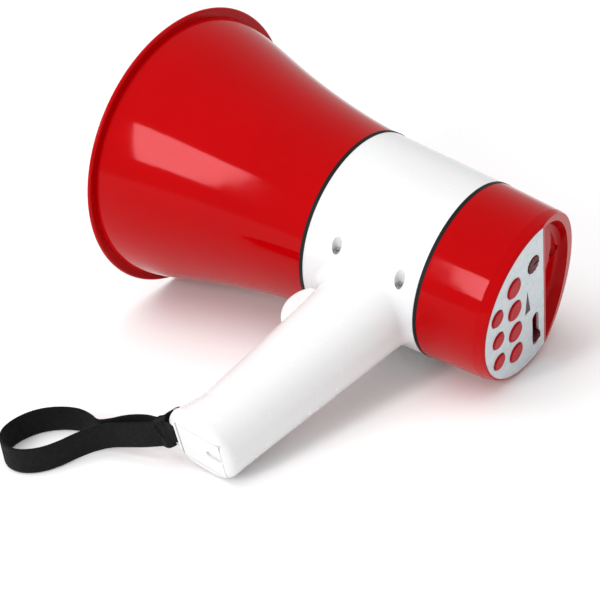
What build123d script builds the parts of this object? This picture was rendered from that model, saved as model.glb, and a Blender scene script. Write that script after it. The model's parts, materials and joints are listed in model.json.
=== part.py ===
from build123d import *
import math
import os

# Handheld megaphone, in millimetres.
#
# Every part is drawn in the frame of a megaphone held for use: X runs back from the rim of the
# bell along the axis of the horn, Y points to the user's right and Z points up, so the handle
# hangs towards -Z. At the end the whole megaphone is turned to the pose in which it lies on a
# table, on its right side: it then touches the table with the rim of the bell, the edge of the
# rear cap and the end of the handle. In that row frame Z is up from the table.

# ---- driving dimensions: bell, body and rear cap -----------------------------------------
BELL_RIM_R = 80.0
LIP_THICK = 2.6
NECK_X = 119.4
NECK_R = 50.0
GASKET_THICK = 2.0
GASKET_DEPTH = 2.6
BODY_END_X = 186.0
BODY_END_R = 46.5
SHELL_WALL = 2.7
CAP_EDGE_X = 218.5
CAP_EDGE_R = 44.4
PANEL_X = 224.0
PANEL_R = 41.6
PANEL_THICK = 1.2
PANEL_CHORD_Z = 9.4
CAP_WALL = 2.4
CAP_FACE_WALL = 2.2

# ---- driving dimensions: throat and speaker ------------------------------------------------
THROAT_X = 112.0
THROAT_R = 36.0
THROAT_FLANGE = 3.0
SPIGOT_R = 46.4
SPIGOT_WALL = 1.9
SPIGOT_END_X = 131.0
GRILLE_R = 46.6
GRILLE_THICK = 1.6
GRILLE_RISE = 7.0
GRILLE_HOLE_R = 2.1
GRILLE_HOLE_PITCH = 6.6
SPEAKER_R = 43.6
SPEAKER_X = 116.2
SPEAKER_SCREW_R = 40.4
COIL_R = 11.2
MAGNET_R = 26.0

# ---- driving dimensions: handle, trigger and battery ---------------------------------------
HANDLE_LEAN = 7.2
HANDLE_END_Z = -157.0
HANDLE_WALL = 2.6
HANDLE_END_FILLET = 4.5
JUNCTION_FILLET = 7.0
# Sections of the handle: height, front x, back x and half width. The toe flares forward below the grip.
HANDLE_GRIP = [
    (-30.0, 134.6, 185.6, 20.6),
    (-66.0, 134.0, 179.5, 19.1),
    (-102.0, 132.2, 173.2, 18.3),
    (-138.0, 129.9, 166.8, 18.2),
]
HANDLE_TOE = [
    (-138.0, 129.9, 166.8, 18.2),
    (-147.5, 126.5, 165.2, 18.3),
    (HANDLE_END_Z, 122.4, 163.8, 18.4),
]
HANDLE_HOLLOW_END = (-145.0, 127.6, 165.6, 18.3)
CELL_R = 9.2
CELL_LENGTH = 65.0
CELL_TOP = Vector(155.0, 0.0, -84.0)
TRIGGER_HALF_WIDTH = 7.5
TRIGGER_TOP_Z = -55.0
TRIGGER_BOTTOM_Z = -79.0
TRIGGER_FRONT_X = 125.2
TRIGGER_STEP_X = 139.9
TRIGGER_BACK_X = 141.9
TRIGGER_TRAVEL = 2.2
TRIGGER_MID_Z = (TRIGGER_TOP_Z + TRIGGER_BOTTOM_Z) / 2
DOOR_FRONT_X = 132.4
DOOR_BACK_X = 159.0
DOOR_HALF_WIDTH = 11.6
DOOR_THICK = 2.4
DOOR_PIN_R = 0.7
STRAP_WIDTH = 14.0
STRAP_THICK = 1.5
STRAP_BAR = Vector(127.4, 0.0, -150.6)
STRAP_BAR_R = 1.4

# ---- driving dimensions: controls -----------------------------------------------------------
BIG_BUTTON_R = 5.3
BIG_BUTTON_Z = -16.2
BIG_BUTTON_PITCH = 15.2
SMALL_BUTTON_R = 4.5
SMALL_BUTTON_Z = -30.6
SMALL_BUTTON_PITCH = 15.3
BUTTON_GAP = 0.35
BUTTON_PROUD = 0.9
DIAL_Y = -24.0
DIAL_Z = 0.6
DIAL_R = 4.6
SWITCH_Y = 22.1
SWITCH_Z = 1.6
SWITCH_SLOT = 22.4
SWITCH_WIDTH = 5.6
SWITCH_TRAVEL = 11.0
LENS_Y = -3.2
LENS_Z = -5.0
LENS_LENGTH = 15.4
LENS_HEIGHT = 5.0
MIC_Z = 33.0
MIC_DIMPLE_R = 3.6
DISH_RIM = 2.4
DISH_DEPTH = 11.5
DISH_TAPER = 24
DISH_FILLET = 3.4
MIC_X = 201.5

# ---- driving dimensions: fasteners and boards ------------------------------------------------
SCREW_SHANK_R = 1.3
SCREW_HEAD_R = 2.4
SCREW_HEAD_HEIGHT = 1.9
SCREW_RECESS = 0.5
SCREW_BOSS_R = 3.4
SCREW_Z = 40.0
SCREW_XS = (139.0, 176.0)
MAIN_BOARD_X = 161.0
BOARD_THICK = 1.6
CONTROL_BOARD_X = 211.0
AXIS = Axis.X


# ---- small tools -------------------------------------------------------------------------------
def turned(points):
    """Solid of revolution about the axis of the horn, from (distance back, radius) corners."""
    outline = Polyline(*[(x, 0, r) for x, r in points], close=True)
    return revolve(make_face(outline), AXIS)


def along_x(radius, start, end, y=0.0, z=0.0):
    """Round bar parallel to the axis of the horn."""
    plane = Plane(origin=(start, y, z), x_dir=(0, 1, 0), z_dir=(1, 0, 0))
    return extrude(plane * Circle(radius), end - start)


def along_y(radius, start, end, x, z):
    """Round bar across the megaphone, from left to right."""
    plane = Plane(origin=(x, start, z), x_dir=(1, 0, 0), z_dir=(0, 1, 0))
    return extrude(plane * Circle(radius), end - start)


def block(x0, x1, y0, y1, z0, z1):
    """Box between two opposite corners."""
    return Pos((x0 + x1) / 2, (y0 + y1) / 2, (z0 + z1) / 2) * Box(x1 - x0, y1 - y0, z1 - z0)


def dome(x, radius, rise, thick):
    """Thin spherical cap that bulges towards the mouth of the bell, its edge in the plane at x."""
    sphere_r = (radius ** 2 + rise ** 2) / (2 * rise)
    cap = Pos(x - rise + sphere_r, 0, 0) * (Sphere(sphere_r) - Sphere(sphere_r - thick))
    return cap & along_x(radius + 1, x - rise - 1, x)


def around(x, radius, count, first=45.0):
    """Places on a circle about the axis of the horn."""
    angles = [math.radians(first + 360.0 * i / count) for i in range(count)]
    return [Vector(x, radius * math.cos(a), radius * math.sin(a)) for a in angles]


def coil(radius, wire, height, turns, base, direction):
    """Round-wire coil spring that stands on base and runs in direction."""
    path = Helix(pitch=height / turns, height=height, radius=radius)
    section = Plane(origin=path @ 0, z_dir=path % 0) * Circle(wire)
    return Plane(origin=base, z_dir=direction).location * sweep(section, path)


def body_radius(x):
    """Outer radius of the barrel of the body at a distance back from the rim."""
    share = (x - NECK_X) / (BODY_END_X - NECK_X)
    return NECK_R + (BODY_END_R - NECK_R) * share


# ---- horn ----------------------------------------------------------------------------------------
def make_bell():
    lip_r = BELL_RIM_R - LIP_THICK / 2
    wall = [(LIP_THICK, 75.4), (18.0, 71.8), (45.0, 64.0), (80.0, 55.7), (NECK_X, NECK_R)]
    inner = [(THROAT_X, 48.4), (78.0, 53.8), (44.0, 62.0), (17.0, 69.8), (0.0, 73.9)]
    spigot_inner = SPIGOT_R - SPIGOT_WALL
    flange_back = THROAT_X + THROAT_FLANGE
    corners = [
        (NECK_X, NECK_R),
        (NECK_X, SPIGOT_R),
        (SPIGOT_END_X, SPIGOT_R),
        (SPIGOT_END_X, spigot_inner),
        (flange_back, spigot_inner),
        (flange_back, THROAT_R),
        (THROAT_X, THROAT_R),
        (THROAT_X, 48.4),
    ]
    edges = [
        Spline(*[(x, 0, r) for x, r in wall]),
        Polyline(*[(x, 0, r) for x, r in corners]),
        Spline(*[(x, 0, r) for x, r in inner]),
        Line((0, 0, inner[-1][1]), (0, 0, lip_r)),
        ThreePointArc((0, 0, lip_r), (LIP_THICK / 2, 0, BELL_RIM_R), (LIP_THICK, 0, lip_r)),
        Line((LIP_THICK, 0, lip_r), (LIP_THICK, 0, wall[0][1])),
    ]
    bell = revolve(make_face(edges), AXIS)
    for place in around(THROAT_X, SPEAKER_SCREW_R, 4):
        bell -= along_x(SCREW_SHANK_R, THROAT_X + 0.8, flange_back, place.Y, place.Z)
    return bell


def make_throat_grille():
    """Domed round plate with rings of holes, in front of the speaker."""
    back = THROAT_X
    front = back - GRILLE_THICK
    top = front - GRILLE_RISE
    dome_r = GRILLE_R - 4.6
    rim = turned([(front, dome_r - 1), (front, GRILLE_R), (back, GRILLE_R), (back, dome_r - 1)])
    grille = rim + dome(back, dome_r, GRILLE_RISE, GRILLE_THICK)
    drills = [along_x(GRILLE_HOLE_R, top - 1, back + 1)]
    for ring in range(1, 6):
        for place in around(0, ring * GRILLE_HOLE_PITCH, 6 * ring, first=0.0):
            drills.append(along_x(GRILLE_HOLE_R, top - 1, back + 1, place.Y, place.Z))
    for drill in drills:
        grille -= drill
    return grille


def make_gasket(start, radius, thick):
    return turned([
        (start, radius - GASKET_DEPTH),
        (start, radius + 0.25),
        (start + thick, radius + 0.25),
        (start + thick, radius - GASKET_DEPTH),
    ])


# ---- speaker -------------------------------------------------------------------------------------
def make_speaker_gasket():
    start = THROAT_X + THROAT_FLANGE
    ring = turned([
        (start, THROAT_R + 0.6),
        (start, SPEAKER_R),
        (SPEAKER_X, SPEAKER_R),
        (SPEAKER_X, THROAT_R + 0.6),
    ])
    for place in around(start, SPEAKER_SCREW_R, 4):
        ring -= along_x(SCREW_SHANK_R + 0.2, start - 1, SPEAKER_X + 1, place.Y, place.Z)
    return ring


def make_speaker_frame():
    """Pressed steel basket with four windows."""
    x = SPEAKER_X
    frame = turned([
        (x, THROAT_R + 0.8), (x, SPEAKER_R), (x + 1.2, SPEAKER_R), (x + 1.2, THROAT_R + 1.8),
        (x + 8, THROAT_R + 0.4), (x + 19.4, 27.0), (x + 21.4, 24.6), (x + 21.4, 12.2),
        (x + 20.2, 12.2), (x + 20.2, 24.0), (x + 18.4, 25.8), (x + 7.2, THROAT_R - 0.8),
        (x + 3.0, THROAT_R + 0.8),
    ])
    for place in around(x + 12.0, 33.0, 4, first=0.0):
        window = Box(7.5, 16, 26)
        turn = math.degrees(math.atan2(place.Z, place.Y))
        frame -= Pos(x + 12.6, 0, 0) * (Rot(turn, 0, 0) * (Pos(0, 33, 0) * window))
    for place in around(x, SPEAKER_SCREW_R, 4):
        frame -= along_x(SCREW_SHANK_R + 0.2, x - 1, x + 3, place.Y, place.Z)
    return frame


def make_speaker_surround():
    """Half-roll ring that lets the cone move."""
    x = SPEAKER_X + 1.8
    edges = [
        ThreePointArc((x, 0, 35.8), (x - 2.4, 0, 33.0), (x, 0, 30.2)),
        Line((x, 0, 30.2), (x + 0.8, 0, 30.2)),
        ThreePointArc((x + 0.8, 0, 30.2), (x - 1.6, 0, 33.0), (x + 0.8, 0, 35.8)),
        Line((x + 0.8, 0, 35.8), (x, 0, 35.8)),
    ]
    return revolve(make_face(edges), AXIS)


def make_speaker_cone():
    x = SPEAKER_X + 1.8
    return turned([(x, 30.0), (x + 0.8, 30.0), (x + 13.2, COIL_R + 0.2), (x + 12.4, COIL_R + 0.2)])


def make_dust_cap():
    return dome(SPEAKER_X + 12.8, COIL_R, 4.0, 0.8)


def make_voice_coil():
    x = SPEAKER_X + 12.8
    return turned([(x, COIL_R - 0.6), (x, COIL_R), (x + 14.0, COIL_R), (x + 14.0, COIL_R - 0.6)])


def make_spider():
    """Corrugated centring disc, flat in this model."""
    x = SPEAKER_X + 17.0
    return turned([(x, COIL_R + 0.1), (x, 26.2), (x + 0.6, 26.2), (x + 0.6, COIL_R + 0.1)])


def make_top_plate():
    x = SPEAKER_X + 21.4
    return turned([(x, COIL_R + 0.7), (x, MAGNET_R - 2), (x + 3.4, MAGNET_R - 2), (x + 3.4, COIL_R + 0.7)])


def make_magnet():
    x = SPEAKER_X + 24.8
    return turned([(x, COIL_R + 3), (x, MAGNET_R), (x + 9.0, MAGNET_R), (x + 9.0, COIL_R + 3)])


def make_yoke():
    """Back plate with the pole piece that stands inside the voice coil."""
    x = SPEAKER_X + 33.8
    pole = COIL_R - 1.1
    plate = [(x + 3.2, 0), (x + 3.2, MAGNET_R - 2), (x, MAGNET_R - 2)]
    return turned([*plate, (x, pole), (x - 12.2, pole), (x - 12.2, 0)])


def make_speaker_screws():
    """Four pan-head screws that hold the speaker to the flange of the bell."""
    head = SPEAKER_X + 1.2
    screws = []
    for place in around(head, SPEAKER_SCREW_R, 4):
        shank = along_x(SCREW_SHANK_R, THROAT_X + 0.8, head, place.Y, place.Z)
        screws.append(shank + along_x(SCREW_HEAD_R, head, head + SCREW_HEAD_HEIGHT, place.Y, place.Z))
    return screws


# ---- body and handle -------------------------------------------------------------------------------
def handle_section(z, front, back, half_width, inset):
    """Rounded rectangle across the handle at height z."""
    depth = back - front - 2 * inset
    width = 2 * (half_width - inset)
    radius = 0.43 * min(depth, width)
    place = Pos((front + back) / 2, 0, z)
    return place * RectangleRounded(depth, width, radius)


def handle_loft(stations, inset):
    """Smooth solid through rounded sections, drawn in by the inset."""
    return loft([handle_section(*station, inset) for station in stations])


def make_outer_body():
    barrel = turned([
        (NECK_X + GASKET_THICK, 0),
        (NECK_X + GASKET_THICK, body_radius(NECK_X + GASKET_THICK)),
        (BODY_END_X, BODY_END_R),
        (BODY_END_X, 0),
    ])
    toe = handle_loft(HANDLE_TOE, 0.0)
    toe = fillet(toe.faces().sort_by(Axis.Z)[0].edges(), HANDLE_END_FILLET)
    joined = barrel + handle_loft(HANDLE_GRIP, 0.0) + toe
    corner = [e for e in joined.edges() if e.bounding_box().max.Z < -30 and e.bounding_box().min.Z > -62]
    return fillet(corner, JUNCTION_FILLET)


def make_inner_body():
    start = NECK_X + GASKET_THICK
    barrel = turned([
        (start - 1, 0),
        (start - 1, body_radius(start) - SHELL_WALL),
        (BODY_END_X + 1, BODY_END_R - SHELL_WALL),
        (BODY_END_X + 1, 0),
    ])
    hollow_end = [HANDLE_GRIP[-1], HANDLE_HOLLOW_END]
    return barrel + handle_loft(HANDLE_GRIP, HANDLE_WALL) + handle_loft(hollow_end, HANDLE_WALL)


def screw_places():
    """Centres (x, z) of the screws that join the two half shells."""
    return [(x, side * SCREW_Z) for side in (-1, 1) for x in SCREW_XS]


def screw_head_y(x):
    """Height of the screw heads, on the left side of the barrel."""
    return -math.sqrt(body_radius(x) ** 2 - (SCREW_Z + SCREW_HEAD_R) ** 2) + SCREW_RECESS


def make_body_shells():
    """Left and right half shells of the body and handle."""
    outside = make_outer_body()
    shell = outside - make_inner_body()
    for x in (MAIN_BOARD_X - 1.7, MAIN_BOARD_X + BOARD_THICK + 0.1):
        outer = body_radius(x) - SHELL_WALL + 0.3
        rib = turned([(x, outer - 3.6), (x, outer), (x + 1.6, outer), (x + 1.6, outer - 3.6)])
        shell += rib - block(x - 1, x + 3, -17, 17, -60, 0)
    for x, z in screw_places():
        shell += along_y(SCREW_BOSS_R, -40, 40, x, z) & outside
    for x, z in screw_places():
        head = screw_head_y(x)
        shell -= along_y(SCREW_HEAD_R + 0.25, -60, head + SCREW_HEAD_HEIGHT, x, z)
        shell -= along_y(SCREW_SHANK_R, head, 8.0, x, z)
    shell -= trigger_window()
    shell -= strap_pocket()
    shell -= door_opening()
    shell -= along_y(STRAP_BAR_R, -10.5, 10.5, STRAP_BAR.X, STRAP_BAR.Z)
    pin = door_pin_place()
    shell -= along_y(DOOR_PIN_R, -DOOR_HALF_WIDTH - 2.2, DOOR_HALF_WIDTH + 2.2, pin.X, pin.Z)
    left = shell & block(100, 200, -80, 0, -200, 80)
    right = shell & block(100, 200, 0, 80, -200, 80)
    return left, right


def make_body_screws():
    screws = []
    for x, z in screw_places():
        head = screw_head_y(x)
        screw = along_y(SCREW_HEAD_R, head, head + SCREW_HEAD_HEIGHT, x, z)
        screw += along_y(SCREW_SHANK_R, head + SCREW_HEAD_HEIGHT, 8.0, x, z)
        for size in ((2.9, 0.7), (0.7, 2.9)):
            screw -= Pos(x, head, z) * Box(size[0], 1.6, size[1])
        screws.append(screw)
    return screws


# ---- trigger ---------------------------------------------------------------------------------------
SPRING_LENGTH = 9.0


def trigger_window():
    gap = 0.35
    return block(
        110, 144,
        -TRIGGER_HALF_WIDTH - gap, TRIGGER_HALF_WIDTH + gap,
        TRIGGER_BOTTOM_Z - gap, TRIGGER_TOP_Z + gap,
    )


def make_trigger():
    """Press-to-talk trigger: a rounded block that slides back into the handle."""
    front = [
        Line((TRIGGER_BACK_X, 0, TRIGGER_TOP_Z), (129.0, 0, TRIGGER_TOP_Z)),
        ThreePointArc(
            (129.0, 0, TRIGGER_TOP_Z),
            (TRIGGER_FRONT_X, 0, TRIGGER_MID_Z - 1.5),
            (131.4, 0, TRIGGER_BOTTOM_Z),
        ),
        Line((131.4, 0, TRIGGER_BOTTOM_Z), (TRIGGER_BACK_X, 0, TRIGGER_BOTTOM_Z)),
        Line((TRIGGER_BACK_X, 0, TRIGGER_BOTTOM_Z), (TRIGGER_BACK_X, 0, TRIGGER_TOP_Z)),
    ]
    trigger = extrude(make_face(front), TRIGGER_HALF_WIDTH, both=True)
    nose = [e for e in trigger.edges() if e.geom_type == GeomType.CIRCLE]
    trigger = fillet(nose, 3.0)
    trigger += block(
        TRIGGER_STEP_X, TRIGGER_BACK_X,
        -TRIGGER_HALF_WIDTH - 1.0, TRIGGER_HALF_WIDTH + 1.0,
        TRIGGER_BOTTOM_Z - 1.4, TRIGGER_TOP_Z + 1.4,
    )
    return trigger


def make_trigger_spring():
    base = (TRIGGER_BACK_X + 0.5, 0, TRIGGER_MID_Z + 6.0)
    return coil(2.6, 0.35, SPRING_LENGTH, 5, base, (1, 0, 0))


def make_trigger_switch():
    """Microswitch behind the trigger, with its plunger just clear of it."""
    front = TRIGGER_BACK_X + TRIGGER_TRAVEL + 1.6
    z = TRIGGER_MID_Z - 4.0
    case = block(front, front + 6.4, -6.4, 6.4, z - 5.0, z + 3.0)
    return case + block(front - 1.2, front, -1.5, 1.5, z - 2.0, z)


def make_switch_bracket():
    """Plate across the handle that carries the microswitch and the far end of the spring."""
    x = TRIGGER_BACK_X + 0.5 + SPRING_LENGTH + 0.5
    front = TRIGGER_BACK_X + TRIGGER_TRAVEL + 8.0
    plate = block(front, front + 2.0, -14.4, 14.4, TRIGGER_MID_Z - 10.5, TRIGGER_MID_Z + 10.0)
    post = block(x, front, -4.0, 4.0, TRIGGER_MID_Z + 2.4, TRIGGER_MID_Z + 9.6)
    return plate + post


# ---- battery and handle end ------------------------------------------------------------------------
def cell_axis():
    """Unit vector down the battery, parallel to the leaning handle."""
    lean = math.radians(HANDLE_LEAN)
    return Vector(-math.sin(lean), 0, -math.cos(lean))


def down_handle(outer, inner, start, end):
    """Round bar or tube along the battery axis, from start to end below the top of the cell."""
    plane = Plane(origin=CELL_TOP + cell_axis() * start, x_dir=(0, 1, 0), z_dir=cell_axis())
    bar = extrude(plane * Circle(outer), end - start)
    if inner:
        bar -= extrude(plane * Circle(inner), end - start)
    return bar


def make_battery_cell():
    return down_handle(CELL_R, 0, 0.0, CELL_LENGTH - 1.4) + down_handle(3.0, 0, -1.4, 0.0)


def make_battery_tube():
    return down_handle(CELL_R + 1.6, CELL_R + 0.3, -3.0, CELL_LENGTH - 6.5)


def make_contact_plate():
    """Spring-brass plate that closes the top of the battery tube."""
    return down_handle(CELL_R + 1.6, 0, -3.8, -3.0) + down_handle(2.0, 0, -3.0, -1.5)


def door_pin_place():
    return Vector(DOOR_FRONT_X + DOOR_THICK / 2, 0, HANDLE_END_Z + DOOR_THICK / 2)


def door_opening():
    """Way in for the battery, with a recess for the door."""
    gap = 0.3
    recess = block(
        DOOR_FRONT_X - gap, DOOR_BACK_X + gap,
        -DOOR_HALF_WIDTH - gap, DOOR_HALF_WIDTH + gap,
        HANDLE_END_Z - 1, HANDLE_END_Z + DOOR_THICK + gap,
    )
    return recess + down_handle(CELL_R + 0.6, 0, CELL_LENGTH - 6.0, CELL_LENGTH + 14.0)


def make_battery_door():
    """Flush door in the end of the handle, with a finger recess near its free edge."""
    pin = door_pin_place()
    plate = block(
        pin.X, DOOR_BACK_X,
        -DOOR_HALF_WIDTH, DOOR_HALF_WIDTH,
        HANDLE_END_Z, HANDLE_END_Z + DOOR_THICK,
    )
    door = plate + along_y(DOOR_THICK / 2, -DOOR_HALF_WIDTH, DOOR_HALF_WIDTH, pin.X, pin.Z)
    recess = Pos(154.0, -1.0, HANDLE_END_Z) * SlotOverall(9.0, 4.4)
    door -= extrude(recess, 1.2)
    return door - along_y(DOOR_PIN_R + 0.05, -30, 30, pin.X, pin.Z)


def make_door_pin():
    pin = door_pin_place()
    return along_y(DOOR_PIN_R, -DOOR_HALF_WIDTH - 2.0, DOOR_HALF_WIDTH + 2.0, pin.X, pin.Z)


def make_door_spring():
    """Conical contact of the battery door, drawn as a straight coil."""
    foot = CELL_TOP + cell_axis() * (CELL_LENGTH + 0.2)
    height = HANDLE_END_Z + DOOR_THICK
    base = Vector(foot.X, 0, height)
    return coil(4.6, 0.45, foot.Z - height - 0.9, 3, base + Vector(0, 0, 0.5), (0, 0, 1))


def strap_pocket():
    """Notch in the toe of the handle where the strap goes round its bar."""
    half = STRAP_WIDTH / 2 + 0.9
    return block(110, STRAP_BAR.X + 3.4, -half, half, HANDLE_END_Z - 1, STRAP_BAR.Z + 4.2)


def make_strap_bar():
    return along_y(STRAP_BAR_R, -10.4, 10.4, STRAP_BAR.X, STRAP_BAR.Z)


# ---- rear cap and controls ---------------------------------------------------------------------------
def below_chord(radius, start, end, drop=0.0):
    """Slice of a round bar on the handle side of the panel chord."""
    disc = along_x(radius, start, end)
    return disc & block(start - 1, end + 1, -60, 60, -60, PANEL_CHORD_Z - drop)


def make_rear_cap():
    start = BODY_END_X + GASKET_THICK
    cap = turned([
        (start, 0), (start, BODY_END_R + 0.1), (CAP_EDGE_X, CAP_EDGE_R),
        (PANEL_X, CAP_EDGE_R - 1.6), (PANEL_X, 0),
    ])
    rim = [e for e in cap.edges() if e.geom_type == GeomType.CIRCLE and e.center().X > CAP_EDGE_X - 1]
    cap = fillet(rim, 1.4)
    tilt = math.degrees(math.atan2(5.6, 45.0 - PANEL_CHORD_Z))
    wedge = Pos(PANEL_X, 0, PANEL_CHORD_Z) * (Rot(0, -tilt, 0) * block(0, 20, -60, 60, 0, 60))
    cap -= wedge
    cap -= mic_hollow()
    inside_x = PANEL_X - CAP_FACE_WALL
    cavity = turned([
        (start - 1, 0), (start - 1, BODY_END_R - CAP_WALL),
        (CAP_EDGE_X - 3, CAP_EDGE_R - CAP_WALL), (inside_x - 3.2, CAP_EDGE_R - CAP_WALL - 1.6),
        (inside_x - 3.2, 0),
    ])
    shallow = cavity & block(start - 1, PANEL_X - 16.0, -60, 60, -60, 60)
    deep = cavity & block(start - 1, PANEL_X, -60, 60, -60, PANEL_CHORD_Z - 2.4)
    cap -= shallow + deep
    cap -= below_chord(CAP_EDGE_R - CAP_WALL - 2.4, inside_x - 4, inside_x, drop=2.4)
    cap -= below_chord(PANEL_R + 0.1, PANEL_X - PANEL_THICK, PANEL_X + 1)
    for hole in control_holes(0.0):
        cap -= hole
    cap -= along_x(2.0, PANEL_X - 30, PANEL_X, 0, MIC_Z)
    cap -= Pos(PANEL_X + 3.0 - DISH_DEPTH, 0, MIC_Z) * Sphere(MIC_DIMPLE_R)
    spigot = turned([
        (182.4, BODY_END_R - SHELL_WALL - 2.1), (182.4, BODY_END_R - SHELL_WALL - 0.3),
        (start, BODY_END_R - SHELL_WALL - 0.3), (start, BODY_END_R - CAP_WALL + 0.3),
        (start + 3, BODY_END_R - CAP_WALL + 0.3), (start + 3, BODY_END_R - SHELL_WALL - 2.1),
    ])
    return cap + spigot


def mic_hollow():
    """Dish that the user speaks into, between the panel chord and the rim of the cap."""
    outline = Plane.YZ.offset(PANEL_X + 2) * Circle(CAP_EDGE_R - DISH_RIM)
    outline &= Plane.YZ.offset(PANEL_X + 2) * (Pos(0, 60 + PANEL_CHORD_Z + 0.9) * Rectangle(140, 120))
    dish = extrude(outline, -DISH_DEPTH, taper=DISH_TAPER)
    floor = dish.faces().sort_by(Axis.X)[0]
    return fillet(floor.edges(), DISH_FILLET)


def big_button_places():
    return [(BIG_BUTTON_PITCH * (i - 1.5), BIG_BUTTON_Z) for i in range(4)]


def small_button_places():
    return [(SMALL_BUTTON_PITCH * (i - 1), SMALL_BUTTON_Z) for i in range(3)]


def lens_outline(grow):
    """Thin wedge, its sharp end to the left."""
    tip = LENS_Y - LENS_LENGTH / 2 - 1.6 * grow
    base = LENS_Y + LENS_LENGTH / 2 + grow
    half = LENS_HEIGHT / 2 + grow
    return Polyline((tip, LENS_Z), (base, LENS_Z + half), (base, LENS_Z - half), close=True)


def control_holes(grow):
    """Cutters for every control that comes through the panel."""
    x0 = PANEL_X - 12
    x1 = PANEL_X + 2
    holes = [along_x(BIG_BUTTON_R + BUTTON_GAP + grow, x0, x1, y, z) for y, z in big_button_places()]
    holes += [along_x(SMALL_BUTTON_R + BUTTON_GAP + grow, x0, x1, y, z) for y, z in small_button_places()]
    holes.append(along_x(DIAL_R + BUTTON_GAP + grow, x0, x1, DIAL_Y, DIAL_Z))
    slot = Plane.YZ.offset(x0) * (Pos(SWITCH_Y, SWITCH_Z) * SlotOverall(SWITCH_SLOT, SWITCH_WIDTH))
    holes.append(extrude(slot, x1 - x0))
    wedge = Plane.YZ.offset(x0) * make_face(lens_outline(grow))
    holes.append(extrude(wedge, x1 - x0))
    return holes


def make_control_panel():
    """D-shaped plate let into the face of the rear cap."""
    panel = below_chord(PANEL_R, PANEL_X - PANEL_THICK, PANEL_X, drop=0.1)
    for hole in control_holes(0.0):
        panel -= hole
    return panel


def make_button(radius, y, z):
    """Domed key with a flange behind the face of the cap and a stem down to its switch."""
    top = PANEL_X + BUTTON_PROUD
    inside = PANEL_X - CAP_FACE_WALL
    key = along_x(radius, inside - 2.0, top, y, z)
    key = fillet(key.edges().group_by(Axis.X)[-1], 0.8)
    key += along_x(radius + 0.8, inside - 2.0, inside - 0.4, y, z)
    return key + along_x(1.5, CONTROL_BOARD_X + BOARD_THICK + 4.3, inside - 2.0, y, z)


def make_tact_switches():
    """One small switch behind each key."""
    start = CONTROL_BOARD_X + BOARD_THICK
    switches = []
    for y, z in big_button_places() + small_button_places():
        case = block(start, start + 2.4, y - 3, y + 3, z - 3, z + 3)
        switches.append(case + along_x(1.6, start + 2.4, start + 3.3, y, z))
    return switches


def make_control_board():
    board = below_chord(38.6, CONTROL_BOARD_X, CONTROL_BOARD_X + BOARD_THICK, drop=3.2)
    return board


def make_volume_knob():
    """Knurled dial, level with the panel."""
    top = PANEL_X + 0.4
    knob = along_x(DIAL_R, PANEL_X - 6.0, top, DIAL_Y, DIAL_Z)
    for i in range(12):
        angle = math.radians(30.0 * i)
        y = DIAL_Y + DIAL_R * math.cos(angle)
        z = DIAL_Z + DIAL_R * math.sin(angle)
        knob -= along_x(0.55, PANEL_X - 7, top + 1, y, z)
    knob -= block(top - 0.6, top + 1, DIAL_Y - 0.45, DIAL_Y + 0.45, DIAL_Z, DIAL_Z + 4)
    return knob + along_x(1.5, PANEL_X - 9.5, PANEL_X - 6.0, DIAL_Y, DIAL_Z)


def make_potentiometer():
    start = CONTROL_BOARD_X + BOARD_THICK
    case = block(start, PANEL_X - 7.2, DIAL_Y - 4.8, DIAL_Y + 4.8, DIAL_Z - 5.2, DIAL_Z + 4.8)
    return case - along_x(1.56, PANEL_X - 10.0, PANEL_X, DIAL_Y, DIAL_Z)


def make_switch_lever():
    y = SWITCH_Y + SWITCH_TRAVEL / 2
    inside = PANEL_X - CAP_FACE_WALL
    half = SWITCH_WIDTH / 2 - 0.25
    lever = block(inside - 3.0, PANEL_X + 1.4, y - 2.2, y + 2.2, SWITCH_Z - half, SWITCH_Z + half)
    return lever


def make_slide_switch():
    start = CONTROL_BOARD_X + BOARD_THICK
    half = SWITCH_SLOT / 2
    end = PANEL_X - CAP_FACE_WALL - 3.3
    return block(start, end, SWITCH_Y - half, SWITCH_Y + half, SWITCH_Z - 3.4, SWITCH_Z + 3.0)


def make_indicator_lens():
    back = PANEL_X - CAP_FACE_WALL - 0.2
    face = Plane.YZ.offset(back) * make_face(lens_outline(-0.12))
    return extrude(face, PANEL_X - 0.3 - back)


def make_indicator_led():
    start = CONTROL_BOARD_X + BOARD_THICK
    return along_x(1.5, start, PANEL_X - CAP_FACE_WALL - 0.6, LENS_Y + 3.0, LENS_Z)


def make_microphone():
    return along_x(4.8, MIC_X, MIC_X + 5.4, 0, MIC_Z)


def make_microphone_boot():
    boot = along_x(6.6, MIC_X - 1.6, MIC_X + 6.4, 0, MIC_Z) - along_x(4.85, MIC_X, MIC_X + 5.4, 0, MIC_Z)
    return boot - along_x(2.0, MIC_X, MIC_X + 8, 0, MIC_Z)


# ---- main board ----------------------------------------------------------------------------------------
def make_main_board():
    plane = Plane.YZ.offset(MAIN_BOARD_X)
    return extrude(plane * RectangleRounded(58.0, 64.0, 4.0), BOARD_THICK)


def make_amplifier_chip():
    x = MAIN_BOARD_X + BOARD_THICK
    return block(x, x + 3.2, -9.0, 9.0, 2.0, 12.0)


def make_heat_sink():
    x = MAIN_BOARD_X + BOARD_THICK + 3.2
    sink = block(x, x + 2.0, -11.0, 11.0, 0.0, 14.0)
    for i in range(6):
        y = -10.4 + 3.84 * i
        sink += block(x + 2.0, x + 9.0, y, y + 1.6, 0.0, 14.0)
    return sink


def make_capacitors():
    x = MAIN_BOARD_X + BOARD_THICK
    places = ((-20.0, 18.0, 5.0, 14.0), (-20.0, 4.0, 4.0, 12.0), (20.0, 18.0, 5.0, 14.0))
    return [along_x(radius, x, x + height, y, z) for y, z, radius, height in places]


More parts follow.
